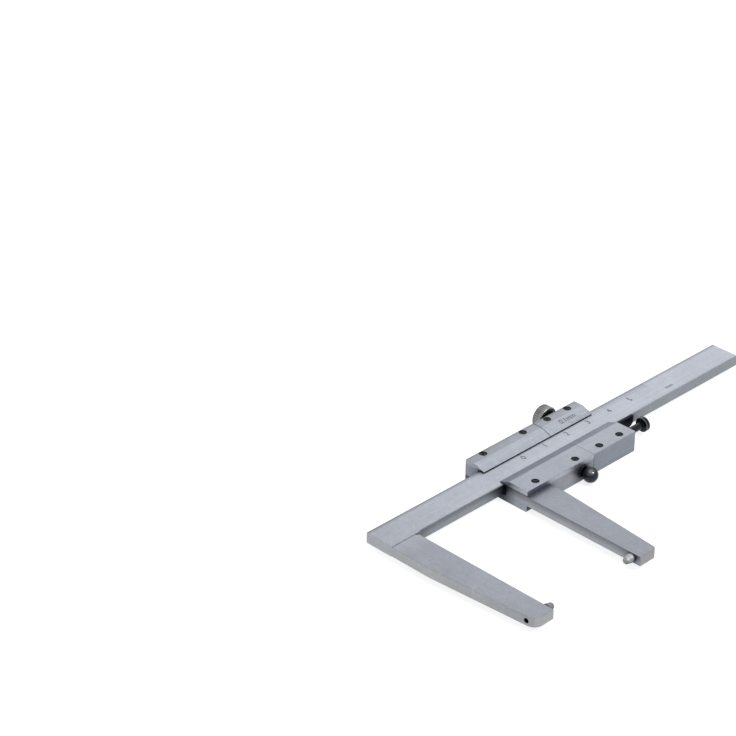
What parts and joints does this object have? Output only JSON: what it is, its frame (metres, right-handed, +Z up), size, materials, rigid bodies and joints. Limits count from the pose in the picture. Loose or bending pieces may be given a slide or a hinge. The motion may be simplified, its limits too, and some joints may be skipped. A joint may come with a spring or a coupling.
{
  "type": "brake disc caliper gauge",
  "caption": "Slide caliper for brake discs: long tapered jaws with conical measuring pins, a vernier clamp carriage with a knurled lock screw, and a sprung plunger that advances the moving jaw.",
  "frame": {"origin": "on the resting plane, under the middle of the object's outer box", "axes": "+X along the beam away from the fixed jaw, -Y along the jaws to their measuring pins, +Z up out of the scale face"},
  "size_m": [0.16, 0.0756, 0.0083],
  "materials": {
    "beam_satin": "satin-ground blue-grey steel with etched graduations",
    "jaw_ground": "surface-ground tool steel, fine lines along the jaw",
    "cover_satin": "satin-ground steel plates with bright broken edges",
    "body_milled": "milled steel with faint tool marks",
    "pin_hardened": "turned and hardened bright steel",
    "black_oxide": "black-oxide steel, semi-gloss, worn grey at the edges",
    "spring_steel": "blued spring steel",
    "shoe_brass": "plain brass",
    "knurled_nickel": "nickel-plated, straight knurl"
  },
  "bodies": {
    "beam_frame": {"beam": "beam_satin", "fixed_jaw": "jaw_ground", "fixed_measuring_pin": "pin_hardened"},
    "jaw_carriage": {"moving_jaw": "jaw_ground", "moving_measuring_pin": "pin_hardened", "jaw_base_plate": "body_milled", "jaw_rear_block": "body_milled", "jaw_rear_cover": "cover_satin", "jaw_front_cover": "cover_satin", "jaw_cover_screws": "black_oxide", "leaf_spring": "spring_steel", "gib_strip": "black_oxide", "ball_knob": "black_oxide", "ball_collar": "black_oxide", "plunger_rod": "spring_steel", "plunger_knob": "black_oxide"},
    "clamp_carriage": {"clamp_body": "body_milled", "vernier_plate": "cover_satin", "clamp_front_cover": "cover_satin", "clamp_cover_screws": "black_oxide", "return_spring": "spring_steel"},
    "clamp_shoe": {"clamp_shoe": "shoe_brass"},
    "thumb_screw": {"thumb_screw": "knurled_nickel"}
  },
  "joints": [
    {"name": "carriage_slide", "type": "slide", "parent": "beam_frame", "child": "clamp_carriage", "axis": [1, 0, 0], "range_m": [-0.02495, 0.025]},
    {"name": "jaw_advance", "type": "slide", "parent": "clamp_carriage", "child": "jaw_carriage", "axis": [-1, 0, 0], "range_m": [0, 0.0064], "stiffness_N_per_m": 250, "springref_m": -0.012, "deforming": ["return_spring"]},
    {"name": "clamp_press", "type": "slide", "parent": "clamp_carriage", "child": "clamp_shoe", "axis": [0, -1, 0], "range_m": [0, 0.0004]},
    {"name": "clamp_turn", "type": "hinge", "parent": "clamp_shoe", "child": "thumb_screw", "pos_m": [0.0077, 0.03615, 0.00425], "axis": [0, -1, 0], "range_deg": [0, 321]}
  ],
  "couplings": [
    {"joint": "clamp_turn", "follows": "clamp_press", "rad_per_m": 13963}
  ]
}
